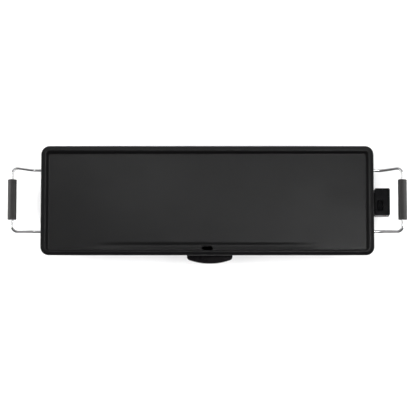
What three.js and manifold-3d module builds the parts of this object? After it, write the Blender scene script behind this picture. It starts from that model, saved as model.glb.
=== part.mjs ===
// Electric table griddle: a long non-stick plate on four moulded legs, with a wire handle at each end,
// a drip tray that slides out at the front and a plug-in temperature controller at the right end.
// Millimetres. X runs to the right along the plate, Y to the back and Z up; the table is Z = 0.
// The origin is the middle of the footprint, on the table.
import * as THREE from 'three';
import { mergeVertices } from 'three/addons/utils/BufferGeometryUtils.js';
import Module from 'manifold-3d';

const wasm = await Module();
wasm.setup();

// ---------------------------------------------------------------- driving dimensions
const gap = 0.3; // clearance between pieces that touch
const reach = 1; // how far a shape runs into, or past, the one that it joins or cuts
const plate = { length: 700, depth: 232, corner: 18, floor: 4, rim: 6 };
const undersideZ = 70; // the plate's underside above the table
const surfaceZ = undersideZ + plate.floor; // cooking surface
const rimZ = surfaceZ + plate.rim; // top of the rim

const gutter = { y: -95.2, width: 17.4, depth: 1.3, length: 480 }; // shallow channel that leads to the drain
const drain = { y: -100, width: 21, depth: 8, corner: 3, collarHeight: 6, collarWall: 3.5 };

const element = { radius: 3.5, x: 280, y: 62, bend: 22, z: undersideZ - 8, spacing: 28, endX: 316 };
const ridge = { width: 15, bottomZ: undersideZ - 10, endX: 308 };
const insulator = { radius: 5, proud: 2 };

const leg = { x: 318, y: 84, width: 40, depth: 48, corner: 9, headShift: 12, footZ: 6, webZ: 46 };
leg.toe = { width: 26, depth: 25, corner: 8, height: 2, flare: 3 };
const foot = { radius: 12.5, rim: 1, pegRadius: 4.7, pegTopZ: 14 };
const clampScrew = { radius: 2.5, length: 12, inset: 10 };
const boss = { legZ: 56, legRadius: 7, radius: 4.5, inletZ: 64, probeZ: undersideZ - 14, probeHalfWidth: 7 };

const rod = { radius: 3.6, y: 65.2, innerX: 302, bendX: 366, bend: 20 };
rod.z = undersideZ - gap - rod.radius;
const grip = { x: 409, z: rimZ + 8, radius: 9.5, length: 85, spread: 69, corner: 12, bevel: 1 };

const tray = { x: 5, front: 130.5, rear: 40, halfWidth: 48, lipZ: 54, lip: 3, bottomZ: 28, wall: 2 };
tray.bowlFront = 114; // the bowl stops under the plate's edge, and only the lip shows in front of it
tray.bowlCorner = 6;
tray.pull = { height: 5, rearY: -117 }; // the lip's front edge is turned down this far
tray.bodyInset = 5; // the bowl stands this far inside the lip's outline
tray.bow = { radius: 129.5, halfChord: 42 }; // the lip's bowed front edge
const rail = { sheet: 1.2, topZ: 57.2, ledgeZ: 50.7, frontY: -108, rearY: -36, clearance: 0.6 };
rail.screw = { x: 57, y: { front: -100, rear: -42 }, margin: 5 };
rail.ledgeWidth = 4.6;

const inlet = { y: -1.5, x: [322, 349.5], halfWidth: 31, bottomZ: 38, wall: 2 };
inlet.screw = { x: 335, y: 37, margin: [7, 6] };
const pin = { radius: 2.4, endX: 341 };
const box = { x: [351.8, 384.2], halfWidth: 28.7, z: [40, 70], splitZ: 55, wall: 2, corner: 3, ease: 1 };
const block = { x: [334, 358], halfWidth: 19.7, z: [46.3, 67.4] };
const socket = { x: [327, 355], radius: 4, depth: 18 };
const probe = { x: [272, 355], radius: 2.5 };
const wheel = { x: [359, 368], y: inlet.y - 8, radius: 14, proud: 2.1, ribs: 28, ribDepth: 0.9 };
wheel.z = box.z[1] + wheel.proud - wheel.radius;
wheel.slot = { side: 0.8, halfLength: 10.6 }; // clears the wheel down to the wall's inner face
const lamp = { x: 372.6, z: 62, radius: 2.5, length: 10.8, inset: 4.2 };
const lens = { radius: 3.5, step: 1, face: 1.2, length: 3.4, inset: 0.2 };
const gland = { y: inlet.y + 9, z: 48.5, radius: 4.7, length: 4.6, flange: 5.9, flangeThick: 1.6, bore: 3.5 };

// The tray stands out in front, so the plate sits this far behind the middle of the footprint.
const plateShiftY = (tray.front - plate.depth / 2) / 2;

const sideSigns = { left: -1, right: 1 };
const depthSigns = { front: -1, rear: 1 };

// ---------------------------------------------------------------- materials
function finish(color, roughness, metalness) {
  return new THREE.MeshStandardMaterial({ color, roughness, metalness });
}

const finishes = {
  nonStick: finish(0x26262a, 0.45, 0.3),
  chrome: finish(0xd8d8dc, 0.12, 1),
  steel: finish(0xa9abad, 0.35, 1),
  phenolic: finish(0x1b1b1d, 0.6, 0),
  rubber: finish(0x141414, 0.9, 0),
  enamel: finish(0x202022, 0.4, 0.2),
  ceramic: finish(0xe8e4da, 0.7, 0),
  brass: finish(0xc9a452, 0.35, 1),
  lens: finish(0xc0341c, 0.15, 0),
  glass: finish(0xe0e8ea, 0.05, 0),
};

// ---------------------------------------------------------------- solids
function solid(geometry) {
  const bare = new THREE.BufferGeometry();
  bare.setAttribute('position', geometry.getAttribute('position'));
  bare.setIndex(geometry.getIndex());
  const merged = mergeVertices(bare, 1e-4);
  return new wasm.Manifold(new wasm.Mesh({
    numProp: 3,
    vertProperties: new Float32Array(merged.getAttribute('position').array),
    triVerts: new Uint32Array(merged.getIndex().array),
  }));
}

// One body: everything in joins added to the first shape, then everything in cuts taken away.
function carve(first, joins, cuts) {
  let body = solid(first);
  joins.forEach((geometry) => { body = body.add(solid(geometry)); });
  cuts.forEach((geometry) => { body = body.subtract(solid(geometry)); });
  const { vertProperties, triVerts } = body.getMesh();
  const geometry = new THREE.BufferGeometry();
  geometry.setAttribute('position', new THREE.BufferAttribute(vertProperties, 3));
  geometry.setIndex(new THREE.BufferAttribute(triVerts, 1));
  geometry.computeVertexNormals();
  return geometry;
}

function slab([x0, x1], [y0, y1], [z0, z1]) {
  const geometry = new THREE.BoxGeometry(Math.abs(x1 - x0), Math.abs(y1 - y0), Math.abs(z1 - z0));
  return geometry.translate((x0 + x1) / 2, (y0 + y1) / 2, (z0 + z1) / 2);
}

// A round bar along x, y or z between two places on that axis; at holds its two other coordinates.
function bar(axis, radius, [from, to], [u, v], sides = 20) {
  const geometry = new THREE.CylinderGeometry(radius, radius, Math.abs(to - from), sides);
  const middle = (from + to) / 2;
  if (axis === 'x') return geometry.rotateZ(Math.PI / 2).translate(middle, u, v);
  if (axis === 'y') return geometry.translate(u, middle, v);
  return geometry.rotateX(Math.PI / 2).translate(u, v, middle);
}

// A turned piece: the profile's radius and height pairs, spun about Z.
function turned(profile, sides = 20) {
  const points = profile.map(([radius, height]) => new THREE.Vector2(radius, height));
  return new THREE.LatheGeometry(points, sides).rotateX(Math.PI / 2);
}

// The points of a rounded rectangle, counter-clockwise seen from above.
function roundedRing({ x = 0, y = 0, width, depth, radius }, cornerSteps) {
  const points = [];
  [[1, 1], [-1, 1], [-1, -1], [1, -1]].forEach(([sx, sy], quarter) => {
    for (let step = 0; step <= cornerSteps; step += 1) {
      const angle = (quarter + step / cornerSteps) * (Math.PI / 2);
      const px = x + sx * (width / 2 - radius) + radius * Math.cos(angle);
      const py = y + sy * (depth / 2 - radius) + radius * Math.sin(angle);
      points.push([px, py]);
    }
  });
  return points;
}

// A closed skin through rounded rectangles: the first ring is capped below and the last one above.
function loft(rings, cornerSteps = 4) {
  const positions = [];
  rings.forEach((ring) => {
    roundedRing(ring, cornerSteps).forEach(([x, y]) => positions.push(x, y, ring.z));
  });
  const count = positions.length / 3 / rings.length;
  const lastStart = (rings.length - 1) * count;
  [rings[0], rings.at(-1)].forEach((ring) => positions.push(ring.x ?? 0, ring.y ?? 0, ring.z));
  const [lowCentre, highCentre] = [rings.length * count, rings.length * count + 1];
  const index = [];
  for (let k = 0; k < count; k += 1) {
    const next = (k + 1) % count;
    for (let start = 0; start < lastStart; start += count) {
      const above = start + count;
      index.push(start + k, start + next, above + next, start + k, above + next, above + k);
    }
    index.push(next, k, lowCentre, lastStart + k, lastStart + next, highCentre);
  }
  const geometry = new THREE.BufferGeometry();
  geometry.setAttribute('position', new THREE.BufferAttribute(new Float32Array(positions), 3));
  geometry.setIndex(index);
  geometry.computeVertexNormals();
  return geometry;
}

function roundedBlock([x0, x1], [y0, y1], [z0, z1], radius) {
  const ring = { x: (x0 + x1) / 2, y: (y0 + y1) / 2, width: x1 - x0, depth: y1 - y0, radius };
  return loft([{ ...ring, z: z0 }, { ...ring, z: z1 }]);
}

// Straight runs between the points, with an arc of the given radius at each corner in between.
// Its stations are only where the direction changes, so that a straight run is one step long.
class BentPath extends THREE.Curve {
  constructor(points, bends, stepsPerBend = 4) {
    super();
    const heading = (k) => points[k + 1].clone().sub(points[k]).normalize();
    this.stations = [{ point: points[0], tangent: heading(0) }];
    bends.forEach((radius, k) => {
      const [ahead, onward] = [heading(k), heading(k + 1)];
      const turn = ahead.angleTo(onward);
      const aside = onward.clone().addScaledVector(ahead, -Math.cos(turn)).normalize();
      const start = points[k + 1].clone().addScaledVector(ahead, -radius * Math.tan(turn / 2));
      for (let step = 0; step <= stepsPerBend; step += 1) {
        const angle = turn * (step / stepsPerBend);
        const [sine, cosine] = [Math.sin(angle), Math.cos(angle)];
        const along = start.clone().addScaledVector(ahead, radius * sine);
        const point = along.addScaledVector(aside, radius * (1 - cosine));
        const tangent = ahead.clone().multiplyScalar(cosine).addScaledVector(aside, sine);
        this.stations.push({ point, tangent });
      }
    });
    this.stations.push({ point: points.at(-1), tangent: heading(points.length - 2) });
    this.steps = this.stations.length - 1;
  }

  getPointAt(share, target = new THREE.Vector3()) {
    return target.copy(this.stations[Math.round(share * this.steps)].point);
  }

  getTangentAt(share, target = new THREE.Vector3()) {
    return target.copy(this.stations[Math.round(share * this.steps)].tangent);
  }
}

// On a level path the section's first coordinate points down and its second one points sideways.
function sweep(section, path) {
  const options = { steps: path.steps, extrudePath: path, bevelEnabled: false, curveSegments: 6 };
  return new THREE.ExtrudeGeometry(section, options);
}

function circle(radius) {
  return new THREE.Shape().absarc(0, 0, radius, 0, 2 * Math.PI, false);
}

function rectangle([x0, x1], [y0, y1]) {
  return new THREE.Shape([[x0, y0], [x1, y0], [x1, y1], [x0, y1]].map(([x, y]) => new THREE.Vector2(x, y)));
}

function upright(shape, [z0, z1]) {
  const options = { depth: z1 - z0, bevelEnabled: false, curveSegments: 10 };
  const geometry = new THREE.ExtrudeGeometry(shape, options);
  return geometry.translate(0, 0, z0);
}

// A screw that points up from the underside of its head.
function screw({ shank, head, headHeight, length }, [x, y], headZ) {
  const tipZ = headHeight + length;
  const profile = [[0, 0], [head, 0], [head, headHeight], [shank, headHeight], [shank, tipZ], [0, tipZ]];
  return turned(profile, 12).translate(x, y, headZ);
}

// ---------------------------------------------------------------- the assembly
const griddle = new THREE.Group();
griddle.position.y = plateShiftY;

function addPart(name, geometry, material) {
  const mesh = new THREE.Mesh(geometry, material);
  mesh.name = name;
  griddle.add(mesh);
}

// ---------------------------------------------------------------- plate
const legScrew = { shank: 2, head: 4, headHeight: 3, length: 19 };
const railScrew = { shank: 1.5, head: 3, headHeight: 2, length: 9 };
const inletScrew = { shank: 1.5, head: 3, headHeight: 2, length: 7 };
const railBossZ = rail.topZ + gap;

// Where the element runs: a long loop under the plate whose two ends come out at the inlet.
function elementPath(endX) {
  const terminal = element.spacing / 2;
  const at = (x, y) => new THREE.Vector3(x, y, element.z);
  const corners = [
    at(element.x, inlet.y - terminal), at(element.x, -element.y), at(-element.x, -element.y),
    at(-element.x, element.y), at(element.x, element.y), at(element.x, inlet.y + terminal),
  ];
  const ends = [at(endX, inlet.y - terminal), at(endX, inlet.y + terminal)];
  return new BentPath([ends[0], ...corners, ends[1]], corners.map(() => element.bend));
}

function grooveSection(radius, depth) {
  const section = new THREE.Shape().moveTo(depth, -radius).lineTo(0, -radius);
  return section.absarc(0, 0, radius, -Math.PI / 2, Math.PI / 2, true).lineTo(depth, radius);
}

// The rim's inner slope stands closer to the edge at the front, where the gutter runs along its foot.
function plateDish() {
  const ring = (inset, z, frontInset = inset) => ({
    y: (frontInset - inset) / 2,
    width: plate.length - 2 * inset,
    depth: plate.depth - inset - frontInset,
    radius: Math.max(plate.corner - inset, 2),
    z,
  });
  return loft([
    ring(3, undersideZ), ring(0.9, undersideZ + 0.9), ring(0, undersideZ + 3),
    ring(0, rimZ - 3.7), ring(1.2, rimZ - 2), ring(4.3, rimZ - 0.8), ring(8.6, rimZ, 8.2),
    ring(10.7, rimZ - 0.2, 9.4), ring(13.2, rimZ - 1.4, 10.2), ring(16.6, surfaceZ + 1.4, 11.2),
    ring(19.6, surfaceZ, 12),
  ]);
}

// A spindle that dips into the surface: deepest in the middle and gone at its ends. Only the part of it
// that lies below the surface is kept, because higher up it is wide enough to reach the rim.
function gutterCutter() {
  const radius = (gutter.width ** 2 / 4 + gutter.depth ** 2) / (2 * gutter.depth);
  const steps = 12;
  const profile = [[0, -gutter.length / 2]];
  for (let k = 0; k <= steps; k += 1) {
    const along = 2 * (k / steps) - 1;
    profile.push([radius - gutter.depth * along ** 4, along * gutter.length / 2]);
  }
  profile.push([0, gutter.length / 2]);
  const axisZ = surfaceZ + radius - gutter.depth;
  const spindle = turned(profile, 96).rotateY(Math.PI / 2).translate(0, gutter.y, axisZ);
  const overY = [gutter.y - 2 * radius, gutter.y + 2 * radius];
  const over = slab([-gutter.length, gutter.length], overY, [surfaceZ + 0.1, surfaceZ + 3 * radius]);
  return carve(spindle, [], [over]);
}

// A boss under the plate and the blind hole for its screw, whose tip is at tipZ.
function screwBoss(radius, shank, at, bottomZ, tipZ) {
  return {
    join: bar('z', radius, [bottomZ, undersideZ + reach], at),
    cut: bar('z', shank + gap, [bottomZ - reach, tipZ + gap], at, 14),
  };
}

function addPlate() {
  const railTipZ = rail.topZ - rail.sheet - gap + railScrew.length;
  const inletTipZ = boss.inletZ - inlet.wall - 2 * gap + inletScrew.length;
  const bosses = [];
  Object.values(sideSigns).forEach((sx) => {
    Object.values(depthSigns).forEach((sy) => {
      const at = [sx * leg.x, sy * leg.y];
      bosses.push(screwBoss(boss.legRadius, legScrew.shank, at, boss.legZ, leg.webZ + legScrew.length));
    });
    Object.values(rail.screw.y).forEach((y) => {
      const at = [tray.x + sx * rail.screw.x, y];
      bosses.push(screwBoss(boss.radius, railScrew.shank, at, railBossZ, railTipZ));
    });
    const at = [inlet.screw.x, inlet.y + sx * inlet.screw.y];
    bosses.push(screwBoss(boss.radius, inletScrew.shank, at, boss.inletZ, inletTipZ));
  });

  const probeY = [inlet.y - boss.probeHalfWidth, inlet.y + boss.probeHalfWidth];
  const probeCarrier = slab([probe.x[0] - 8, ridge.endX + 6], probeY, [boss.probeZ, undersideZ + reach]);
  const probeBore = bar('x', probe.radius + gap, [probe.x[0] - gap, ridge.endX + 10], [inlet.y, element.z]);

  const span = (centre, size) => [centre - size / 2, centre + size / 2];
  const collarSize = [drain.width, drain.depth].map((size) => size + 2 * drain.collarWall);
  const collarZ = [undersideZ - drain.collarHeight, undersideZ + reach];
  const collar = roundedBlock(span(0, collarSize[0]), span(drain.y, collarSize[1]), collarZ, drain.corner);
  const drainZ = [collarZ[0] - reach, rimZ];
  const drainHole = roundedBlock(span(0, drain.width), span(drain.y, drain.depth), drainZ, drain.corner);

  const ridgeHeight = [element.z - undersideZ - reach, element.z - ridge.bottomZ];
  const ridgeSection = rectangle(ridgeHeight, span(0, ridge.width));
  const elementRidge = sweep(ridgeSection, elementPath(ridge.endX));
  const groove = grooveSection(element.radius + gap, element.z - ridge.bottomZ + reach);
  const elementGroove = sweep(groove, elementPath(ridge.endX + 5));

  const joins = [...bosses.map(({ join }) => join), probeCarrier, collar, elementRidge];
  const cuts = [...bosses.map(({ cut }) => cut), probeBore, drainHole, elementGroove, gutterCutter()];
  addPart('griddle_plate', carve(plateDish(), joins, cuts), finishes.nonStick);
}

// ---------------------------------------------------------------- heating
function addHeating() {
  addPart('heating_element', sweep(circle(element.radius), elementPath(element.endX)), finishes.steel);
  Object.entries(depthSigns).forEach(([end, sy]) => {
    const at = [inlet.y + sy * element.spacing / 2, element.z];
    const beadX = [element.endX + gap, inlet.x[0] + inlet.wall + insulator.proud];
    const pinBore = bar('x', pin.radius + gap, [beadX[0] - reach, beadX[1] + reach], at);
    const bead = carve(bar('x', insulator.radius, beadX, at), [], [pinBore]);
    addPart(`terminal_insulator_${end}`, bead, finishes.ceramic);
    addPart(`terminal_pin_${end}`, bar('x', pin.radius, [beadX[0], pin.endX], at, 16), finishes.brass);
  });
}

// The housing under the plate's right end that the controller plugs into.
function addInlet() {
  const y = [inlet.y - inlet.halfWidth, inlet.y + inlet.halfWidth];
  const topZ = undersideZ - gap;
  const inner = [y[0] + inlet.wall, y[1] - inlet.wall];
  const flangeTopZ = boss.inletZ - gap;
  const flangeZ = [flangeTopZ - inlet.wall, flangeTopZ];
  const backWall = [inlet.x[0] - reach, inlet.x[0] + inlet.wall + reach];
  const headZ = flangeZ[0] - gap - inletScrew.headHeight;
  const [marginX, marginY] = inlet.screw.margin;
  const joins = [];
  const hollowX = [inlet.x[0] + inlet.wall, inlet.x[1] + reach];
  const cuts = [slab(hollowX, inner, [inlet.bottomZ + inlet.wall, topZ + reach])];
  Object.entries(depthSigns).forEach(([end, sy]) => {
    const screwAt = [inlet.screw.x, inlet.y + sy * inlet.screw.y];
    const flangeX = [inlet.screw.x - marginX, inlet.screw.x + marginX];
    const flangeY = [inlet.y + sy * (inlet.halfWidth - reach), inlet.y + sy * (inlet.screw.y + marginY)];
    joins.push(slab(flangeX, flangeY, flangeZ));
    cuts.push(bar('z', inletScrew.shank + gap, [flangeZ[0] - reach, flangeZ[1] + reach], screwAt, 14));
    cuts.push(bar('x', insulator.radius + gap, backWall, [inlet.y + sy * element.spacing / 2, element.z]));
    addPart(`inlet_screw_${end}`, screw(inletScrew, screwAt, headZ), finishes.steel);
  });
  cuts.push(bar('x', probe.radius + 3 * gap, backWall, [inlet.y, element.z]));
  const shroud = slab(inlet.x, y, [inlet.bottomZ, topZ]);
  addPart('inlet_shroud', carve(shroud, joins, cuts), finishes.phenolic);
}

// ---------------------------------------------------------------- legs
const clampAt = (sx, sy) => [sx * (leg.x - clampScrew.inset), sy * rod.y];

// The head reaches in to the handle rod, and the toe stands further out.
function legBody(sx, sy) {
  const { toe } = leg;
  const x = sx * leg.x;
  const at = (y, { width, depth, corner }, z) => ({ x, y: sy * y, width, depth, radius: corner, z });
  const shrunk = { width: leg.width - 2, depth: leg.depth - 3, corner: leg.corner };
  const flared = { width: toe.width + toe.flare, depth: toe.depth + toe.flare, corner: toe.corner + 1 };
  const headY = leg.y - leg.headShift;
  const body = loft([
    at(leg.y, toe, leg.footZ),
    at(leg.y, flared, leg.footZ + toe.height),
    at(headY + 1, shrunk, leg.webZ),
    at(headY, leg, undersideZ - gap),
  ]);
  const screwAt = [x, sy * leg.y];
  const rodSpan = [sx * (rod.innerX - reach), sx * (leg.x + leg.width)];
  return carve(body, [], [
    bar('z', foot.pegRadius + gap, [leg.footZ - reach, leg.webZ], screwAt),
    bar('z', legScrew.shank + gap, [leg.webZ - reach, boss.legZ], screwAt, 14),
    bar('z', boss.legRadius + gap, [boss.legZ - gap, undersideZ + reach], screwAt),
    bar('x', rod.radius + gap, rodSpan, [sy * rod.y, rod.z]),
    bar('z', clampScrew.radius + gap, [leg.footZ, rod.z], clampAt(sx, sy), 14),
  ]);
}

function rubberFoot() {
  const topZ = leg.footZ - gap;
  const pad = [[0, 0], [foot.radius - foot.rim, 0], [foot.radius, foot.rim], [foot.radius, topZ]];
  const peg = [[foot.pegRadius, topZ], [foot.pegRadius, foot.pegTopZ], [0, foot.pegTopZ]];
  return turned([...pad, ...peg]);
}

function addLegs() {
  const screwHeadZ = leg.webZ - gap - legScrew.headHeight;
  const clampTopZ = rod.z - rod.radius - gap;
  const clampZ = [clampTopZ - clampScrew.length, clampTopZ];
  Object.entries(sideSigns).forEach(([side, sx]) => {
    Object.entries(depthSigns).forEach(([end, sy]) => {
      const at = [sx * leg.x, sy * leg.y];
      const corner = `${end}_${side}`;
      addPart(`leg_${corner}`, legBody(sx, sy), finishes.phenolic);
      addPart(`leg_screw_${corner}`, screw(legScrew, at, screwHeadZ), finishes.steel);
      addPart(`rubber_foot_${corner}`, rubberFoot().translate(...at, 0), finishes.rubber);
      const clamp = bar('z', clampScrew.radius, clampZ, clampAt(sx, sy), 14);
      addPart(`handle_clamp_screw_${corner}`, clamp, finishes.steel);
    });
  });
}

// ---------------------------------------------------------------- handles
function addHandles() {
  Object.entries(sideSigns).forEach(([side, sx]) => {
    const arm = (sy) => [
      new THREE.Vector3(sx * rod.innerX, sy * rod.y, rod.z),
      new THREE.Vector3(sx * rod.bendX, sy * rod.y, rod.z),
      new THREE.Vector3(sx * grip.x, sy * grip.spread, grip.z),
    ];
    const bends = [rod.bend, grip.corner, grip.corner, rod.bend];
    const path = new BentPath([...arm(-1), ...arm(1).reverse()], bends);
    addPart(`handle_rod_${side}`, sweep(circle(rod.radius), path), finishes.chrome);
    const [bore, end] = [rod.radius + gap, grip.length / 2];
    const [face, edge] = [grip.radius - grip.bevel, end - grip.bevel];
    const profile = [[bore, -end], [face, -end], [grip.radius, -edge], [grip.radius, edge]];
    profile.push([face, end], [bore, end], [bore, -end]);
    const sleeve = turned(profile, 28).rotateX(-Math.PI / 2).translate(sx * grip.x, 0, grip.z);
    addPart(`grip_${side}`, sleeve, finishes.phenolic);
  });
}

// ---------------------------------------------------------------- drip tray
// The tray's outline seen from above, this far inside the lip: straight sides and a bowed front.
function trayOutline(inset) {
  const side = tray.halfWidth - inset;
  const [bowRadius, bowHalf] = [tray.bow.radius - inset, tray.bow.halfChord - inset];
  const bowAngle = Math.asin(bowHalf / bowRadius);
  const bowCentreY = tray.bow.radius - tray.front;
  const bowEndY = bowCentreY - bowRadius * Math.cos(bowAngle);
  const cornerY = bowEndY + (side - bowHalf) * Math.tan(bowAngle);
  const rearY = -tray.rear - inset;
  const outline = new THREE.Shape().moveTo(tray.x + side, rearY).lineTo(tray.x - side, rearY);
  outline.lineTo(tray.x - side, cornerY + side - bowHalf);
  outline.quadraticCurveTo(tray.x - side, cornerY, tray.x - bowHalf, bowEndY);
  outline.absarc(tray.x, bowCentreY, bowRadius, -Math.PI / 2 - bowAngle, -Math.PI / 2 + bowAngle, false);
  outline.quadraticCurveTo(tray.x + side, cornerY, tray.x + side, cornerY + side - bowHalf);
  return outline;
}

function addTray() {
  const lipUnder = tray.lipZ - tray.lip;
  const bowl = (inset, z) => roundedBlock(
    [tray.x - tray.halfWidth + inset, tray.x + tray.halfWidth - inset],
    [inset - tray.bodyInset - tray.bowlFront, -tray.rear - inset],
    z,
    tray.bowlCorner + tray.bodyInset - inset,
  );
  const lip = upright(trayOutline(0), [lipUnder, tray.lipZ]);
  const hollow = bowl(tray.bodyInset + tray.wall, [tray.bottomZ + tray.wall, tray.lipZ + reach]);
  const pullZ = [lipUnder - tray.pull.height, lipUnder + reach];
  const behindX = [tray.x - 2 * tray.halfWidth, tray.x + 2 * tray.halfWidth];
  const behind = slab(behindX, [tray.pull.rearY, 0], [pullZ[0] - reach, pullZ[1] + reach]);
  const within = upright(trayOutline(tray.wall), [pullZ[0] - reach, lipUnder]);
  const pull = carve(upright(trayOutline(0), pullZ), [], [behind, within]);
  const body = bowl(tray.bodyInset, [tray.bottomZ, lipUnder + reach]);
  addPart('drip_tray', carve(body, [lip, pull], [hollow]), finishes.enamel);
}

function addRails() {
  const y = [rail.frontY, rail.rearY];
  const webInner = tray.halfWidth + rail.clearance;
  const webOuter = webInner + rail.sheet;
  const flangeZ = [rail.topZ - rail.sheet, rail.topZ];
  const ledgeZ = [rail.ledgeZ - rail.sheet, rail.ledgeZ];
  Object.entries(sideSigns).forEach(([side, sx]) => {
    const span = (inner, outer) => [tray.x + sx * inner, tray.x + sx * outer];
    const web = slab(span(webInner, webOuter), y, [ledgeZ[0], rail.topZ]);
    const ledge = slab(span(webInner - rail.ledgeWidth, webOuter), y, ledgeZ);
    const flange = slab(span(webInner, rail.screw.x + rail.screw.margin), y, flangeZ);
    const holes = [];
    Object.entries(rail.screw.y).forEach(([end, screwY]) => {
      const at = [tray.x + sx * rail.screw.x, screwY];
      const headZ = flangeZ[0] - gap - railScrew.headHeight;
      holes.push(bar('z', railScrew.shank + gap, [flangeZ[0] - reach, flangeZ[1] + reach], at, 14));
      addPart(`rail_screw_${end}_${side}`, screw(railScrew, at, headZ), finishes.steel);
    });
    addPart(`tray_rail_${side}`, carve(web, [ledge, flange], holes), finishes.steel);
  });
}

// ---------------------------------------------------------------- controller
const boxY = [inlet.y - box.halfWidth, inlet.y + box.halfWidth];
const insideX = [box.x[0] + box.wall, box.x[1] - box.wall];
const post = { radius: 2.8, pilotTopZ: 62.5, x: box.x[1] - 4.4, y: box.halfWidth - 4.4 };
const shellScrew = { shank: 1.25, head: 2.4, headHeight: 2, length: 18, recess: 2.6 };
const shellScrewAt = { front: [post.x, inlet.y - post.y], rear: [post.x, inlet.y + post.y] };
const shaft = { radius: 2.5, pocket: 1.2 };

// One shell of the box, open towards the other shell, with its screw posts.
function shell(rings, hollowZ, postZ, cuts) {
  const hollow = slab(insideX, [boxY[0] + box.wall, boxY[1] - box.wall], hollowZ);
  const posts = Object.values(shellScrewAt).map((at) => bar('z', post.radius, postZ, at, 14));
  const blockOpening = slab(
    [box.x[0] - reach, insideX[0] + reach],
    [inlet.y - block.halfWidth - gap, inlet.y + block.halfWidth + gap],
    [block.z[0] - gap, block.z[1] + gap],
  );
  const seatX = [insideX[1] - reach, insideX[1] + shaft.pocket];
  const shaftSeat = bar('x', shaft.radius + gap, seatX, [wheel.y, wheel.z]);
  return carve(carve(loft(rings), [], [hollow]), posts, [blockOpening, shaftSeat, ...cuts]);
}

function addShells() {
  const ringInset = (inset) => ({
    x: (box.x[0] + box.x[1]) / 2,
    y: inlet.y,
    width: box.x[1] - box.x[0] - 2 * inset,
    depth: 2 * (box.halfWidth - inset),
    radius: box.corner - inset,
  });
  const [ring, eased] = [ringInset(0), ringInset(box.ease)];
  const [lowZ, highZ] = box.z;
  const [underSplit, overSplit] = [box.splitZ - gap / 2, box.splitZ + gap / 2];
  const screwAts = Object.values(shellScrewAt);

  const pilotHoles = screwAts.map((at) => bar('z', shellScrew.shank + gap, [lowZ, post.pilotTopZ], at, 12));
  const slotX = [wheel.x[0] - wheel.slot.side, wheel.x[1] + wheel.slot.side];
  const slotY = [wheel.y - wheel.slot.halfLength, wheel.y + wheel.slot.halfLength];
  const wheelSlot = slab(slotX, slotY, [highZ - box.wall - reach, highZ + reach]);
  const lensHoleY = [boxY[0] - reach, boxY[0] + box.wall + reach];
  const lensHole = bar('y', lens.radius + gap, lensHoleY, [lamp.x, lamp.z]);
  const topRings = [{ ...ring, z: overSplit }, { ...ring, z: highZ - box.ease }, { ...eased, z: highZ }];
  const topHollow = [overSplit - reach, highZ - box.wall];
  const top = shell(topRings, topHollow, [overSplit, highZ - reach], [...pilotHoles, wheelSlot, lensHole]);
  addPart('controller_top_shell', top, finishes.phenolic);

  const headTopZ = lowZ + shellScrew.recess;
  const headBores = screwAts.map((at) => bar('z', shellScrew.head + gap, [lowZ - reach, headTopZ], at, 14));
  const screwBores = screwAts.map((at) => bar('z', shellScrew.shank + gap, [lowZ, highZ], at, 12));
  const glandHole = bar('x', gland.radius + gap, [insideX[1] - reach, box.x[1] + reach], [gland.y, gland.z]);
  const lowRings = [{ ...eased, z: lowZ }, { ...ring, z: lowZ + box.ease }, { ...ring, z: underSplit }];
  const lowHollow = [lowZ + box.wall, underSplit + reach];
  const lowCuts = [...headBores, ...screwBores, glandHole];
  const low = shell(lowRings, lowHollow, [lowZ + reach, underSplit], lowCuts);
  addPart('controller_bottom_shell', low, finishes.phenolic);

  const headZ = headTopZ - gap - shellScrew.headHeight;
  Object.entries(shellScrewAt).forEach(([end, at]) => {
    addPart(`shell_screw_${end}`, screw(shellScrew, at, headZ), finishes.steel);
  });
}

// The block between the shells that carries the sensor probe and the two mains sockets.
function addContacts() {
  const y = [inlet.y - block.halfWidth, inlet.y + block.halfWidth];
  const probeBoreX = [block.x[0] - reach, probe.x[1] + gap];
  const probeBore = bar('x', probe.radius + gap, probeBoreX, [inlet.y, element.z]);
  const shaftSeatX = [block.x[1] - shaft.pocket, block.x[1] + reach];
  const shaftSeat = bar('x', shaft.radius + gap, shaftSeatX, [wheel.y, wheel.z]);
  const socketBores = Object.entries(depthSigns).map(([end, sy]) => {
    const at = [inlet.y + sy * element.spacing / 2, element.z];
    const pinBore = bar('x', pin.radius + gap, [socket.x[0] - reach, socket.x[0] + socket.depth], at, 16);
    const sleeve = carve(bar('x', socket.radius, socket.x, at), [], [pinBore]);
    addPart(`contact_socket_${end}`, sleeve, finishes.brass);
    return bar('x', socket.radius + gap, [block.x[0] - reach, socket.x[1] + gap], at);
  });
  const body = carve(slab(block.x, y, block.z), [], [probeBore, shaftSeat, ...socketBores]);
  addPart('contact_block', body, finishes.phenolic);

  const length = probe.x[1] - probe.x[0];
  const nose = [[0, 0], [0.6 * probe.radius, 0.2 * probe.radius], [probe.radius, probe.radius]];
  const sensor = turned([...nose, [probe.radius, length], [0, length]]).rotateY(Math.PI / 2);
  addPart('sensor_probe', sensor.translate(probe.x[0], inlet.y, element.z), finishes.steel);
}

function ribbedWheel() {
  const outline = new THREE.Shape();
  for (let k = 0; k < 2 * wheel.ribs; k += 1) {
    const angle = (k * Math.PI) / wheel.ribs;
    const radius = wheel.radius - (k % 2) * wheel.ribDepth;
    outline[k ? 'lineTo' : 'moveTo'](radius * Math.cos(angle), radius * Math.sin(angle));
  }
  outline.holes.push(new THREE.Path().absarc(0, 0, shaft.radius + gap, 0, 2 * Math.PI, true));
  const rim = upright(outline, [0, wheel.x[1] - wheel.x[0]]).rotateY(Math.PI / 2);
  return rim.translate(wheel.x[0], wheel.y, wheel.z);
}

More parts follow.
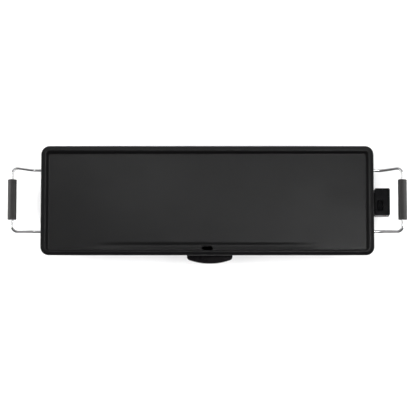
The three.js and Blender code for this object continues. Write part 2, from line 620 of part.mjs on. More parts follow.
// The snap switch that the wheel's cam presses, with its contact blade on top.
function thermostatSwitch() {
  const bodyX = [block.x[1] + 2.5, box.x[1] - 9];
  const bodyY = [inlet.y + 10, inlet.y + 24];
  const bodyZ = [box.z[0] + box.wall + gap, box.splitZ + 8];
  const bladeZ = [bodyZ[1] - reach, bodyZ[1] + 1.5];
  const blade = slab([bodyX[0] + 4, bodyX[0] + 10], [bodyY[0] + 2, bodyY[1] - 2], bladeZ);
  return carve(slab(bodyX, bodyY, bodyZ), [blade], []);
}

function pilotLens() {
  const face = lens.radius - lens.step;
  const profile = [[0, 0], [face, 0], [face, lens.face], [lens.radius, lens.face]];
  profile.push([lens.radius, lens.length], [0, lens.length]);
  return turned(profile).rotateX(-Math.PI / 2).translate(lamp.x, boxY[0] + lens.inset, lamp.z);
}

// The cord's bushing: a flange inside the wall and a tube that passes out through it.
function cordGland() {
  const { bore, flange, flangeThick, radius, length } = gland;
  const profile = [[bore, 0], [flange, 0], [flange, flangeThick], [radius, flangeThick]];
  profile.push([radius, length], [bore, length], [bore, 0]);
  return turned(profile).rotateY(Math.PI / 2).translate(insideX[1] - flangeThick - gap, gland.y, gland.z);
}

function addControls() {
  const shaftX = [block.x[1] - shaft.pocket + gap, insideX[1] + shaft.pocket - gap];
  const lampY = [boxY[0] + lamp.inset, boxY[0] + lamp.inset + lamp.length];
  addPart('dial_wheel', ribbedWheel(), finishes.phenolic);
  addPart('dial_shaft', bar('x', shaft.radius, shaftX, [wheel.y, wheel.z], 16), finishes.steel);
  addPart('thermostat_switch', thermostatSwitch(), finishes.brass);
  addPart('pilot_lens', pilotLens(), finishes.lens);
  addPart('neon_lamp', bar('y', lamp.radius, lampY, [lamp.x, lamp.z], 16), finishes.glass);
  addPart('cord_gland', cordGland(), finishes.rubber);
}

addPlate();
addHeating();
addInlet();
addLegs();
addHandles();
addTray();
addRails();
addShells();
addContacts();
addControls();

export default griddle;
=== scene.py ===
"""Electric griddle: the visible pieces and their materials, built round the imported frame. Metres, +Z up."""
import math

import bmesh
import bpy
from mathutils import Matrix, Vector


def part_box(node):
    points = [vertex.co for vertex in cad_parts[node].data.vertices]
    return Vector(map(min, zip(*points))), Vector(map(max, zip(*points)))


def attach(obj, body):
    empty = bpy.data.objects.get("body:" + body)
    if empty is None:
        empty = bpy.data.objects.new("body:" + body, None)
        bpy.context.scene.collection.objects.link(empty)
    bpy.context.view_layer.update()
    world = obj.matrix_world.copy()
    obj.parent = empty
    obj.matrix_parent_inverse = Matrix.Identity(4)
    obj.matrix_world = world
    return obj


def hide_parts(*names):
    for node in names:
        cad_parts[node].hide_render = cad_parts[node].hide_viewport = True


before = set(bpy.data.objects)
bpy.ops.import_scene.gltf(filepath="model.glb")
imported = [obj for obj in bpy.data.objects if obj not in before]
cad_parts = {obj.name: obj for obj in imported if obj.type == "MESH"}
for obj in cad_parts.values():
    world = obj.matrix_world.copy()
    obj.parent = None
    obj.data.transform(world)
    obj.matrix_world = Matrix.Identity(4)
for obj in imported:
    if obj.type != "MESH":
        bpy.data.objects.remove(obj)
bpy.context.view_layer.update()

MM = 0.001
TAU = 2 * math.pi


def place(node):
    """Lowest corner, highest corner and middle of a CAD node."""
    low, high = (Vector(corner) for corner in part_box(node))
    return low, high, (low + high) / 2


# ---------------------------------------------------------------- sizes
PLATE_LOW, PLATE_HIGH, PLATE_MIDDLE = place("griddle_plate")
PLATE_LENGTH = PLATE_HIGH.x - PLATE_LOW.x
PLATE_DEPTH = PLATE_HIGH.y - PLATE_LOW.y
PLATE_Y = PLATE_MIDDLE.y
PLATE_CORNER = 18 * MM
RIM_Z = PLATE_HIGH.z
RIM_HEIGHT = 6 * MM
SURFACE_Z = RIM_Z - RIM_HEIGHT
FLOOR_THICK = 4 * MM
UNDERSIDE_Z = SURFACE_Z - FLOOR_THICK
CREST = 8.8 * MM  # the rim is highest this far in from its edge
SLOPE_TOP = 10.2 * MM  # its inner slope starts this far in
RIM_FOOT = 17 * MM  # and ends this far in,
FRONT_GAIN = 5 * MM  # less at the front, where the gutter runs along it

GUTTER_Y = PLATE_Y - 95.2 * MM
GUTTER_HALF = 8.7 * MM
GUTTER_DEPTH = 1.3 * MM
GUTTER_REACH = 240 * MM  # from the plate's middle to either end of the gutter
DRAIN_Y = PLATE_Y - 100 * MM
DRAIN_SIZE = (21 * MM, 8 * MM)
DRAIN_CORNER = 3 * MM
COLLAR_SIZE = (28 * MM, 15 * MM)  # round the drain, under the plate

ELEMENT_RADIUS = 3.5 * MM
ELEMENT_BEND = 22 * MM
RIDGE_HALF = 7.5 * MM  # half the width of the ridge that holds the element
CLEARANCE = 0.3 * MM  # between pieces that touch
WALL = 2 * MM  # of the tray and of the controller's shells

BOW_RADIUS, BOW_HALF = 129.5 * MM, 42 * MM  # the bowed front of the tray's lip

ROD_LOW, ROD_HIGH, _ = place("handle_rod_right")
ROD_RADIUS = ROD_HIGH.x - place("grip_right")[2].x
ROD_SPREAD = (ROD_HIGH.y - ROD_LOW.y) / 2 - ROD_RADIUS
ROD_CORNER = 12 * MM
ARM_BEND = 20 * MM
ARM_Y = 65.2 * MM
ARM_BEND_X = 16 * MM  # beyond the plate's end, where the arm starts to rise

RIDGE_END_X = place("inlet_shroud")[0].x - 14 * MM  # where the element's ridge stops short of the inlet

CAST = "griddle"  # the body that everything fixed to the plate rides on
CORNERS = [(end, side) for end in ("front", "rear") for side in ("left", "right")]


# ---------------------------------------------------------------- materials
class Nodes:
    """A material's node tree with short calls for the nodes that are used over and over."""

    def __init__(self, name, **inputs):
        self.material = bpy.data.materials.new(name)
        self.material.use_nodes = True
        self.tree = self.material.node_tree
        self.shader = self.tree.nodes["Principled BSDF"]
        for key, value in inputs.items():
            self.shader.inputs[key.replace("_", " ")].default_value = value
        self.where = self.add("ShaderNodeTexCoord").outputs["Object"]

    def add(self, kind, **settings):
        node = self.tree.nodes.new(kind)
        for key, value in settings.items():
            setattr(node, key, value)
        return node

    def link(self, source, target):
        self.tree.links.new(source, target)

    def stretched(self, scale):
        """The object's coordinates, scaled by three numbers."""
        mapping = self.add("ShaderNodeMapping")
        mapping.inputs["Scale"].default_value = scale
        self.link(self.where, mapping.inputs["Vector"])
        return mapping.outputs["Vector"]

    def noise(self, scale, detail=3, rough=0.5, where=None):
        node = self.add("ShaderNodeTexNoise")
        node.inputs["Scale"].default_value = scale
        node.inputs["Detail"].default_value = detail
        node.inputs["Roughness"].default_value = rough
        self.link(where or self.where, node.inputs["Vector"])
        return node.outputs["Fac"]

    def ramp(self, value, low, high, start=0.3, end=0.7):
        """Turns a value from start to end into low to high."""
        node = self.add("ShaderNodeMapRange")
        for key, number in (("From Min", start), ("From Max", end), ("To Min", low), ("To Max", high)):
            node.inputs[key].default_value = number
        self.link(value, node.inputs["Value"])
        return node.outputs["Result"]

    def blend(self, factor, first, second):
        node = self.add("ShaderNodeMix", data_type="RGBA")
        self.link(factor, node.inputs[0])
        for socket, value in ((node.inputs[6], first), (node.inputs[7], second)):
            if isinstance(value, tuple):
                socket.default_value = (*value, 1)
            else:
                self.link(value, socket)
        return node.outputs[2]

    def height(self):
        """The object's own height, for finishes that differ above and below."""
        split = self.add("ShaderNodeSeparateXYZ")
        self.link(self.where, split.inputs[0])
        return split.outputs["Z"]

    def colour(self, value):
        self.link(value, self.shader.inputs["Base Color"])

    def rough(self, value):
        self.link(value, self.shader.inputs["Roughness"])

    def bump(self, *layers):
        """Each layer is a height and how deep its full range is, in metres."""
        normal = None
        for value, depth in layers:
            node = self.add("ShaderNodeBump")
            node.inputs["Distance"].default_value = depth
            self.link(value, node.inputs["Height"])
            if normal:
                self.link(normal, node.inputs["Normal"])
            normal = node.outputs["Normal"]
        self.link(normal, self.shader.inputs["Normal"])


def non_stick():
    """Black satin coating with fine flecks and rub marks; bare grey casting on the underside."""
    n = Nodes("non_stick", Specular_IOR_Level=0.42)
    flecks = n.ramp(n.noise(1900, 2, 0.6), 0, 1, 0.60, 0.74)
    rubbed = n.ramp(n.noise(7, 4, 0.6, n.stretched((0.6, 2.2, 1))), 0, 1, 0.2, 0.8)
    coat = n.blend(rubbed, (0.0010, 0.0010, 0.0012), (0.0024, 0.0023, 0.0025))
    coat = n.blend(flecks, coat, (0.0075, 0.0075, 0.0080))
    cast = n.blend(n.noise(260, 4, 0.7), (0.030, 0.030, 0.032), (0.065, 0.065, 0.068))
    above = n.ramp(n.height(), 0, 1, UNDERSIDE_Z + 0.2 * MM, UNDERSIDE_Z + 0.6 * MM)
    n.colour(n.blend(above, cast, coat))
    n.rough(n.ramp(n.noise(9, 2, 0.5, n.stretched((0.7, 1.6, 1))), 0.27, 0.35, 0.2, 0.8))
    n.bump((n.noise(2.6, 2), 4 * MM), (n.noise(900, 3, 0.55), 0.03 * MM))
    return n.material


def chrome():
    """Bright plating with faint polishing marks along the wire."""
    n = Nodes("chrome", Metallic=1.0)
    n.colour(n.blend(n.noise(30, 3), (0.80, 0.80, 0.81), (0.92, 0.92, 0.92)))
    n.rough(n.ramp(n.noise(220, 4, 0.6), 0.05, 0.13))
    n.bump((n.noise(160, 3, 0.6), 0.02 * MM))
    return n.material


def moulded(name, dark, light, rough, grain=1500, depth=0.05, specular=0.5):
    """Moulded black plastic: a fine grain, cloudy gloss and a slightly uneven colour."""
    n = Nodes(name, Specular_IOR_Level=specular)
    n.colour(n.blend(n.ramp(n.noise(60, 4, 0.6), 0, 1), dark, light))
    n.rough(n.ramp(n.noise(45, 3), rough - 0.06, rough + 0.06))
    n.bump((n.noise(90, 3), 0.12 * MM), (n.noise(grain, 2, 0.6), depth * MM))
    return n.material


def steel(name, tone, rough, stretch=(1, 1, 1)):
    """Drawn or rolled steel with fine lines along one direction."""
    n = Nodes(name, Metallic=1.0)
    lines = n.noise(500, 4, 0.6, n.stretched(stretch))
    shade = tuple(0.7 * part for part in tone)
    n.colour(n.blend(n.ramp(lines, 0, 1), shade, tone))
    n.rough(n.ramp(lines, rough - 0.07, rough + 0.1))
    n.bump((lines, 0.03 * MM))
    return n.material


def sheath():
    """Heater sheath: nickel alloy, heat-tinted in soft bands."""
    n = Nodes("heater_sheath", Metallic=0.9)
    bands = n.ramp(n.noise(14, 3, 0.6), 0, 1)
    n.colour(n.blend(bands, (0.10, 0.095, 0.09), (0.24, 0.21, 0.17)))
    n.rough(n.ramp(n.noise(300, 3), 0.38, 0.55))
    n.bump((n.noise(700, 3, 0.6), 0.05 * MM))
    return n.material


def ceramic():
    n = Nodes("steatite", Specular_IOR_Level=0.35)
    n.colour(n.blend(n.noise(400, 4, 0.7), (0.62, 0.57, 0.48), (0.80, 0.76, 0.68)))
    n.rough(n.ramp(n.noise(200), 0.55, 0.75))
    n.bump((n.noise(900, 3, 0.7), 0.06 * MM))
    return n.material


def clear(name, tint, rough, glow=0.0):
    """Translucent plastic or glass with a faintly uneven body."""
    n = Nodes(name, IOR=1.5, Transmission_Weight=0.85)
    n.colour(n.blend(n.noise(500, 2), tint, tuple(0.8 * part for part in tint)))
    n.rough(n.ramp(n.noise(350), rough, rough + 0.08))
    n.shader.inputs["Emission Color"].default_value = (*tint, 1)
    n.shader.inputs["Emission Strength"].default_value = glow
    n.bump((n.noise(600, 2), 0.02 * MM))
    return n.material


FINISHES = {
    "non_stick": non_stick(),
    "chrome": chrome(),
    "grip": moulded("grip_phenolic", (0.0089, 0.0083, 0.0080), (0.0135, 0.0125, 0.0121), 0.42, specular=0.52),
    "phenolic": moulded(
        "satin_phenolic", (0.0015, 0.0015, 0.0018), (0.0029, 0.0029, 0.0033), 0.36, specular=0.10,
    ),
    "enamel": moulded(
        "tray_enamel", (0.0026, 0.0023, 0.0027), (0.0042, 0.0038, 0.0043), 0.30, 700, 0.03, 0.10,
    ),
    "rubber": moulded("foot_rubber", (0.012, 0.012, 0.012), (0.022, 0.022, 0.022), 0.75, 900, 0.10, 0.3),
    "steel": steel("bright_steel", (0.52, 0.52, 0.53), 0.30, (0.15, 3, 3)),
    "sheath": sheath(),
    "brass": steel("contact_brass", (0.62, 0.44, 0.18), 0.28, (3, 3, 0.3)),
    "ceramic": ceramic(),
    "lens": clear("pilot_red", (0.55, 0.035, 0.02), 0.10, 0.05),
    "glass": clear("lamp_glass", (0.80, 0.82, 0.82), 0.02),
}


# ---------------------------------------------------------------- meshes
def arc(centre, radius, start, end, steps):
    """Points on an arc, angles in degrees."""
    angles = [math.radians(start + (end - start) * k / steps) for k in range(steps + 1)]
    return [(centre[0] + radius * math.cos(a), centre[1] + radius * math.sin(a)) for a in angles]


def rounded(size, radius, corner=8, sides=(1, 1), at=(0, 0)):
    """A rounded rectangle's points, counter-clockwise, with each straight side in the given steps."""
    half = (size[0] / 2 - radius, size[1] / 2 - radius)
    points = []
    for quarter, (sx, sy) in enumerate(((1, 1), (-1, 1), (-1, -1), (1, -1))):
        middle = (at[0] + sx * half[0], at[1] + sy * half[1])
        turn = arc(middle, radius, 90 * quarter, 90 * quarter + 90, corner)
        points += turn
        across = quarter % 2 == 0
        along = (-2 * sx * half[0], 0) if across else (0, -2 * sy * half[1])
        steps = sides[0] if across else sides[1]
        points += [
            (turn[-1][0] + along[0] * k / steps, turn[-1][1] + along[1] * k / steps) for k in range(1, steps)
        ]
    return points


def skin(rings, capped=True):
    """A mesh through rings with the same number of points each."""
    mesh = bmesh.new()
    rows = [[mesh.verts.new(point) for point in ring] for ring in rings]
    count = len(rings[0])
    for low, high in zip(rows, rows[1:]):
        for k in range(count):
            following = (k + 1) % count
            mesh.faces.new((low[k], low[following], high[following], high[k]))
    if capped:
        mesh.faces.new(list(reversed(rows[0])))
        mesh.faces.new(rows[-1])
    else:
        for k in range(count):
            following = (k + 1) % count
            mesh.faces.new((rows[-1][k], rows[-1][following], rows[0][following], rows[0][k]))
    return mesh


def outline_skin(outline, profile):
    """A mesh whose ring at each step is outline(inset) at a height: profile lists inset and height."""
    return skin([[(x, y, z) for x, y in outline(inset)] for inset, z in profile])


def turned(profile, origin, axis="z", steps=48):
    """A turned mesh round an axis through origin: profile lists radius and distance along the axis."""
    order = {"x": (2, 0, 1), "y": (1, 2, 0), "z": (0, 1, 2)}[axis]
    closed = profile[0] == profile[-1]
    rings = []
    for radius, along in profile[:-1] if closed else profile:
        ring = []
        for k in range(steps):
            angle = TAU * k / steps
            local = (max(radius, 1e-6) * math.cos(angle), max(radius, 1e-6) * math.sin(angle), along)
            ring.append(Vector([local[order[i]] for i in range(3)]) + Vector(origin))
        rings.append(ring)
    return skin(rings, capped=not closed)


def bent_path(points, bends, steps=12):
    """Places and headings along straight runs joined by arcs of the given radii."""
    points = [Vector(point) for point in points]
    headings = [(after - before).normalized() for before, after in zip(points, points[1:])]
    stations = [(points[0], headings[0])]
    for corner, ahead, onward, radius in zip(points[1:], headings, headings[1:], bends):
        turn = ahead.angle(onward)
        aside = (onward - ahead * math.cos(turn)).normalized()
        start = corner - ahead * radius * math.tan(turn / 2)
        for k in range(steps + 1):
            sine, cosine = math.sin(turn * k / steps), math.cos(turn * k / steps)
            place_here = start + ahead * radius * sine + aside * radius * (1 - cosine)
            stations.append((place_here, ahead * cosine + aside * sine))
    stations.append((points[-1], headings[-1]))
    return stations


def swept(section, stations):
    """A section carried along a path: its first number is height and its second is to the side."""
    up = Vector((0, 0, 1))
    rings = []
    for point, heading in stations:
        side = heading.cross(up).normalized() if abs(heading.z) < 0.99 else Vector((0, 1, 0))
        over = side.cross(heading)
        rings.append([point + over * height + side * across for height, across in section])
    return skin(rings)


def circle(radius, steps):
    return [(radius * math.cos(TAU * k / steps), radius * math.sin(TAU * k / steps)) for k in range(steps)]


def to_object(mesh, name):
    bmesh.ops.recalc_face_normals(mesh, faces=mesh.faces)
    data = bpy.data.meshes.new(name)
    mesh.to_mesh(data)
    mesh.free()
    thing = bpy.data.objects.new(name, data)
    bpy.context.scene.collection.objects.link(thing)
    return thing


def boolean(thing, meshes, operation="DIFFERENCE"):
    """Cuts other meshes out of a piece, or joins them to it, for good."""
    together = bmesh.new()
    for mesh in meshes:
        bmesh.ops.recalc_face_normals(mesh, faces=mesh.faces)
        data = bpy.data.meshes.new("tool")
        mesh.to_mesh(data)
        mesh.free()
        together.from_mesh(data)
        bpy.data.meshes.remove(data)
    data = bpy.data.meshes.new("tool")
    together.to_mesh(data)
    together.free()
    tool = bpy.data.objects.new("tool", data)
    bpy.context.scene.collection.objects.link(tool)
    modifier = thing.modifiers.new("boolean", "BOOLEAN")
    modifier.operation = operation
    modifier.object = tool
    modifier.solver = "EXACT"
    modifier.use_self = len(meshes) > 1
    bpy.context.view_layer.update()
    evaluated = thing.evaluated_get(bpy.context.evaluated_depsgraph_get())
    result = bpy.data.meshes.new_from_object(evaluated)
    thing.modifiers.clear()
    thing.data = result
    bpy.data.objects.remove(tool)


def shade(thing, angle):
    for face in thing.data.polygons:
        face.use_smooth = True
    thing.data.set_sharp_from_angle(angle=math.radians(angle))


def piece(thing, body, slot, finish=None, replaced=(), angle=35):
    """Finishes a piece: smooth shading, its material (the slot's finish unless another is named), its body
    and the CAD nodes it stands for.
    """
    shade(thing, angle)
    thing.data.materials.clear()
    thing.data.materials.append(FINISHES[finish or slot])
    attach(thing, body)
    if replaced:
        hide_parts(*replaced)


# ---------------------------------------------------------------- plate
def gutter_drop(x, y):
    """How far the surface dips at a place: most in the middle of the gutter, nothing at its edges."""
    across = abs(y - GUTTER_Y) / GUTTER_HALF
    along = abs(x) / GUTTER_REACH
    if across >= 1 or along >= 1:
        return 0.0
    return GUTTER_DEPTH * (1 - along ** 4) * (1 + math.cos(math.pi * across)) / 2


def plate_ring(inset):
    """The plate's outline this far in; inside the crest the front side stays closer to the edge."""
    gain = FRONT_GAIN * min(1, max(0, inset - CREST) / (RIM_FOOT - CREST))
    size = (PLATE_LENGTH - 2 * inset, PLATE_DEPTH - 2 * inset + gain)
    radius = min(max(PLATE_CORNER - inset, 5 * MM), size[1] / 2 - 0.2 * MM)
    return rounded(size, radius, 10, (72, 22), (0, PLATE_Y - gain / 2))


def rim_profile():
    """Inset and height from the underside's edge, up the outside, over the lip and down to the surface."""
    foot, draft, shoulder = 1.6 * MM, 1 * MM, 3.8 * MM
    fullness = 1.2  # of the curve from the shoulder to the crest
    dip = 0.1 * MM  # from the crest to the top of the inner slope
    points = [(6 * MM, UNDERSIDE_Z)]
    points += [(draft + foot - dx, UNDERSIDE_Z + foot + dz) for dx, dz in arc((0, 0), foot, -90, 0, 4)]
    for turn in range(0, 91, 9):
        angle = math.radians(turn)
        points.append((CREST * (1 - math.cos(angle)), RIM_Z - shoulder * (1 - math.sin(angle) ** fullness)))
    slope_steps = 12
    for k in range(slope_steps + 1):
        share = k / slope_steps
        eased = share * share * (3 - 2 * share)
        inset = SLOPE_TOP + (RIM_FOOT - SLOPE_TOP) * share
        points.append((inset, RIM_Z - dip - (RIM_HEIGHT - dip) * eased))
    return points


def ridge_path(end_x):
    """The element's loop under the plate: out of the inlet, round, and back."""
    low, high, middle = place("heating_element")
    reach_y = (high.y - low.y) / 2 - ELEMENT_RADIUS
    left = low.x + ELEMENT_RADIUS
    spacing = place("terminal_pin_rear")[2].y - place("terminal_pin_front")[2].y
    inlet_y = place("sensor_probe")[2].y
    right = -left
    ends = [inlet_y - spacing / 2, inlet_y + spacing / 2]
    flat = [
        (end_x, ends[0]), (right, ends[0]), (right, PLATE_Y - reach_y), (left, PLATE_Y - reach_y),
        (left, PLATE_Y + reach_y), (right, PLATE_Y + reach_y), (right, ends[1]), (end_x, ends[1]),
    ]
    return bent_path([(x, y, middle.z) for x, y in flat], [ELEMENT_BEND] * 6, 10)


def post(at, radius, low, high):
    """An upright round boss whose lower edge is eased."""
    ease = 0.6 * MM
    return turned([(radius - ease, low), (radius, low + ease), (radius, high)], (*at, 0), "z", 32)


def block(outline, low, high):
    """An upright block with the given outline."""
    return skin([[(x, y, z) for x, y in outline] for z in (low, high)])


def plate_joins():
    """What stands under the plate: the element's ridge, screw bosses, the probe's carrier and the spout."""
    root = UNDERSIDE_Z + 1 * MM
    element_z = place("heating_element")[2].z
    leg_boss, small_boss = 7 * MM, 4.5 * MM
    leg_depth, rail_depth, inlet_depth, spout_depth = 14 * MM, 12.5 * MM, 6 * MM, 6 * MM
    ease = 0.6 * MM
    ridge_foot = -2 * MM  # below the element's middle
    ridge = [
        (root - element_z, -RIDGE_HALF), (ridge_foot + ease, -RIDGE_HALF), (ridge_foot, ease - RIDGE_HALF),
    ]
    ridge += [(height, -across) for height, across in reversed(ridge)]
    joins = [swept(ridge, ridge_path(RIDGE_END_X))]
    for end, side in CORNERS:
        leg_screw, rail_screw = (place(f"{part}_screw_{end}_{side}")[2].xy for part in ("leg", "rail"))
        joins.append(post(leg_screw, leg_boss, UNDERSIDE_Z - leg_depth, root))
        joins.append(post(rail_screw, small_boss, UNDERSIDE_Z - rail_depth, root))
    for end in ("front", "rear"):
        joins.append(post(place(f"inlet_screw_{end}")[2].xy, small_boss, UNDERSIDE_Z - inlet_depth, root))
    probe_low, _, probe = place("sensor_probe")
    start_x, end_x = probe_low.x - 8 * MM, RIDGE_END_X + 6 * MM
    middle = ((start_x + end_x) / 2, probe.y)
    carrier = rounded((end_x - start_x, 2 * leg_boss), 3 * MM, 4, at=middle)
    joins.append(block(carrier, UNDERSIDE_Z - leg_depth, root))
    collar = rounded(COLLAR_SIZE, DRAIN_CORNER, 6, at=(0, DRAIN_Y))
    joins.append(block(collar, UNDERSIDE_Z - spout_depth, root))
    return joins


def plate_cuts():
    """The drain with its flared mouth, the element's groove and the probe's bore."""
    probe_low, _, probe = place("sensor_probe")
    probe_bore, groove_radius, past_end = 2.8 * MM, ELEMENT_RADIUS + CLEARANCE, 9 * MM
    bore = [(probe_bore, probe_low.x - CLEARANCE), (probe_bore, RIDGE_END_X + past_end)]
    groove = [(-6 * MM, -groove_radius)]
    groove += [(height, -across) for across, height in arc((0, 0), groove_radius, 0, 180, 12)]
    groove += [(-6 * MM, groove_radius)]
    mouth = [(0, UNDERSIDE_Z - 10 * MM), (0, SURFACE_Z - 2.6 * MM), (0.5 * MM, SURFACE_Z - 1.5 * MM)]
    mouth += [(1.6 * MM, SURFACE_Z - 0.6 * MM), (2.4 * MM, SURFACE_Z + 2 * MM)]
    rings = []
    for grow, z in mouth:
        size = (DRAIN_SIZE[0] + 2 * grow, DRAIN_SIZE[1] + 2 * grow)
        rings.append([(x, y, z) for x, y in rounded(size, DRAIN_CORNER + grow, 8, at=(0, DRAIN_Y))])
    groove_path = ridge_path(RIDGE_END_X + past_end)
    return [turned(bore, (0, probe.y, probe.z), "x"), swept(groove, groove_path), skin(rings)]


def make_plate():
    rings = [[(x, y, z) for x, y in plate_ring(inset)] for inset, z in rim_profile()]
    gutter_insets = [18.4 + 1.4 * k for k in range(14)]  # close together where the gutter needs them
    insets = gutter_insets + [44, 52, 64, 82, 100, 115]
    for inset in insets:
        rings.append([(x, y, SURFACE_Z - gutter_drop(x, y)) for x, y in plate_ring(inset * MM)])
    plate = to_object(skin(rings), "plate_casting")

    boolean(plate, plate_joins(), "UNION")
    boolean(plate, plate_cuts())
    piece(plate, CAST, "non_stick", replaced=["griddle_plate"], angle=32)


def make_element():
    path = ridge_path(place("heating_element")[1].x)
    element = to_object(swept(circle(ELEMENT_RADIUS, 20), path), "element_tube")
    piece(element, CAST, "steel", "sheath", ["heating_element"])


# ---------------------------------------------------------------- handles
def make_handles():
    for side, sign in (("left", -1), ("right", 1)):
        low, high, _ = place(f"handle_rod_{side}")
        grip_low, grip_high, grip_middle = place(f"grip_{side}")
        inner_x = low.x if sign > 0 else high.x
        bend_x = sign * (PLATE_HIGH.x + ARM_BEND_X)
        arm_z = low.z + ROD_RADIUS
        arms = [
            [
                (inner_x, PLATE_Y + end * ARM_Y, arm_z),
                (bend_x, PLATE_Y + end * ARM_Y, arm_z),
                (grip_middle.x, PLATE_Y + end * ROD_SPREAD, grip_middle.z),
            ]
            for end in (-1, 1)
        ]
        path = bent_path(arms[0] + arms[1][::-1], [ARM_BEND, ROD_CORNER, ROD_CORNER, ARM_BEND], 14)
        rod = to_object(swept(circle(ROD_RADIUS, 32), path), f"chrome_handle_{side}")
        piece(rod, CAST, "chrome", replaced=[f"handle_rod_{side}"], angle=60)
        make_grip(side, grip_low, grip_high, grip_middle)


def make_grip(side, low, high, middle):
    """A sleeve with eased ends and a shallow ring near each end."""
    radius, half, bore = (high.x - low.x) / 2, (high.y - low.y) / 2, ROD_RADIUS + CLEARANCE
    ease = 1.3 * MM
    end = [(bore, half - 1.0 * MM), (bore + 1.0 * MM, half)]
    end += [(radius - ease + dx, half - ease + dy) for dx, dy in arc((0, 0), ease, 90, 0, 5)]
    groove = radius - 0.35 * MM
    ring = [(radius, half - 3.6 * MM), (groove, half - 3.9 * MM)]
    ring += [(groove, half - 4.5 * MM), (radius, half - 4.8 * MM)]
    outer = end + ring
    profile = [(r, -along) for r, along in outer] + [(r, along) for r, along in reversed(outer)]
    sleeve = to_object(turned(profile + profile[:1], middle, "y", 64), f"grip_sleeve_{side}")
    piece(sleeve, CAST, "grip", replaced=[f"grip_{side}"], angle=40)


# ---------------------------------------------------------------- legs and feet
def make_legs():
    for end, side in CORNERS:
        low, high, _ = place(f"leg_{end}_{side}")
        foot_low, _, foot = place(f"rubber_foot_{end}_{side}")
        make_leg(f"{end}_{side}", low, high, foot, end)
        make_foot(f"{end}_{side}", foot_low, foot)


def make_leg(corner, low, high, foot, end):
    """A tapered leg: a wide head under the plate that narrows to a round-cornered foot."""
    inward = 1 if end == "front" else -1
    head_shift = inward * 12 * MM
    toe_size, sole_size, growth = (27 * MM, 26 * MM), (27.3 * MM, 26.4 * MM), (13 * MM, 22 * MM)
    corner_radius, widest_at = 8.5 * MM, 0.66
    sole_ease = 1.2 * MM
    peg_hole = 5 * MM
    steps = 14
    rings = []
    for k in range(steps + 1):
        share = k / steps
        z = low.z + (high.z - low.z) * share
        fill = min(1.0, share / widest_at)
        eased = fill * fill * (3 - 2 * fill) * 0.55 + fill * 0.45
        tuck = sole_ease if k == 0 else 0
        size = [toe_size[i] + growth[i] * eased - 2 * tuck for i in range(2)]
        ring = rounded(size, corner_radius - tuck, 8, at=(foot.x, foot.y + head_shift * eased))
        rings.append([(x, y, z) for x, y in ring])
    sole = rounded(sole_size, corner_radius, 8, at=foot.xy)
    rings.insert(1, [(x, y, low.z + sole_ease) for x, y in sole])
    leg = to_object(skin(rings), f"moulded_leg_{corner}")
    boolean(leg, [turned([(peg_hole, low.z - 1 * MM), (peg_hole, low.z + 40 * MM)], (foot.x, foot.y, 0))])
    piece(leg, CAST, "phenolic", replaced=[f"leg_{corner}"], angle=38)


def make_foot(corner, low, foot):
    """A rubber pad with a rounded rim, a recess underneath and a peg that holds it in the leg."""
    radius, peg, ease = foot.x - low.x, 4.7 * MM, 1.6 * MM
    rim_z, peg_z = 5.7 * MM, 14 * MM
    profile = [(0, 1.2 * MM), (5.5 * MM, 1.2 * MM), (6.5 * MM, 0), (radius - ease, 0)]
    profile += [(radius - ease + dx, ease + dz) for dx, dz in arc((0, 0), ease, -90, 0, 5)]
    profile += [(radius, 4.6 * MM), (radius - 1 * MM, rim_z), (peg, rim_z), (peg, peg_z - 1 * MM)]
    profile += [(peg - 0.8 * MM, peg_z), (0, peg_z)]
    pad = to_object(turned(profile, (foot.x, foot.y, 0), "z", 40), f"foot_pad_{corner}")
    piece(pad, CAST, "rubber", replaced=[f"rubber_foot_{corner}"])


# ---------------------------------------------------------------- drip tray
def tray_outline(inset):
    """The lip seen from above, this far in: straight sides and back, a bowed front, rounded corners."""
    low, high, middle = place("drip_tray")
    half = (high.x - low.x) / 2 - inset
    bow_radius, bow_half = BOW_RADIUS - inset, BOW_HALF - inset
    corner_steps, bow_steps = 6, 24
    bow_angle = math.asin(bow_half / bow_radius)
    bow_y = low.y + BOW_RADIUS
    end_y = bow_y - bow_radius * math.cos(bow_angle)
    corner_y = end_y + (half - bow_half) * math.tan(bow_angle)
    side_y = corner_y + half - bow_half
    back_y, back_round = high.y - inset, max(5 * MM - inset, 1.5 * MM)
    right = arc((half - back_round, back_y - back_round), back_round, 0, 90, corner_steps)
    left = [(-x, y) for x, y in reversed(right)]
    front = []
    for k in range(corner_steps + 1):
        share = k / corner_steps
        x = (1 - share) ** 2 * half + 2 * share * (1 - share) * half + share ** 2 * bow_half
        y = (1 - share) ** 2 * side_y + 2 * share * (1 - share) * corner_y + share ** 2 * end_y
        front.append((-x, y))
    spread = math.degrees(bow_angle)
    bow = arc((0, bow_y), bow_radius, -90 - spread, -90 + spread, bow_steps)[1:-1]
    points = right + left + front + bow + [(-x, y) for x, y in reversed(front)]
    return [(x + middle.x, y) for x, y in points]


